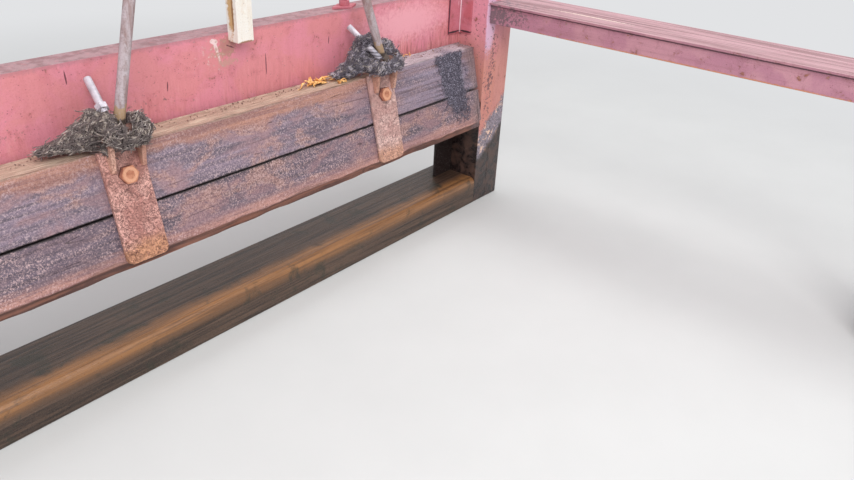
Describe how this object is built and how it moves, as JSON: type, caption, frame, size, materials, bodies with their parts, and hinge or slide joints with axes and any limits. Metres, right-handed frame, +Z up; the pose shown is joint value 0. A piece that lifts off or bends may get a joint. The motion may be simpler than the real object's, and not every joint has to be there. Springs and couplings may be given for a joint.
{
  "type": "sluice gate",
  "caption": "Timber sluice gate leaf hung by two rods from a screw hoist in a painted steel channel frame, with a brace beam upstream.",
  "frame": {"origin": "centre of the sill's underside, midway between the posts", "axes": "+X along the gate towards the brace beam, +Y downstream, +Z up"},
  "size_m": [2.679, 2.007, 3.175],
  "materials": {
    "red_paint": "weathered, scuffed and rust-streaked red paint",
    "white_paint": "chipped white paint",
    "rusty_steel": "heavily rusted and pitted",
    "bare_steel": "dull weathered steel",
    "zinc": "dull galvanised",
    "leaf_timber": "wet, dark, weathered plank",
    "sill_timber": "wet, worn timber"
  },
  "bodies": {
    "frame": {"sill_beam": "sill_timber", "post_left": "red_paint", "post_right": "red_paint", "post_angle_left": "red_paint", "post_angle_right": "red_paint", "breast_beam": "red_paint", "guide_left": "rusty_steel", "guide_right": "rusty_steel", "upright_left": "red_paint", "upright_right": "red_paint", "centre_post": "white_paint", "stay_rod_right": "red_paint", "stay_nut_right": "red_paint", "stay_base_right": "red_paint", "head_beam": "red_paint", "screw_bearing": "bare_steel", "hand_wheel": "rusty_steel", "brace_beam": "red_paint", "brace_plate": "red_paint", "brace_post": "red_paint"},
    "hoist": {"rod_left": "bare_steel", "rod_right": "bare_steel", "lifting_plate": "bare_steel", "plate_pin_left": "bare_steel", "plate_pin_right": "bare_steel", "lifting_screw": "bare_steel"},
    "leaf": {"upper_plank": "leaf_timber", "lower_plank": "leaf_timber", "strap_left": "rusty_steel", "strap_right": "rusty_steel", "strap_bolt_left": "rusty_steel", "strap_bolt_right": "rusty_steel", "bracket_left": "rusty_steel", "bracket_right": "rusty_steel", "hanger_pin_left": "bare_steel", "hanger_pin_right": "bare_steel", "stud_left": "zinc", "stud_right": "zinc"}
  },
  "joints": [
    {"name": "gate_lift", "type": "slide", "parent": "frame", "child": "hoist", "axis": [0, 0, 1], "range_m": [-0.256, 0.007]},
    {"name": "leaf_swing", "type": "hinge", "parent": "hoist", "child": "leaf", "pos_m": [0, -0.098, 0.77112], "axis": [1, 0, 0], "range_deg": [0, 13.5]}
  ]
}
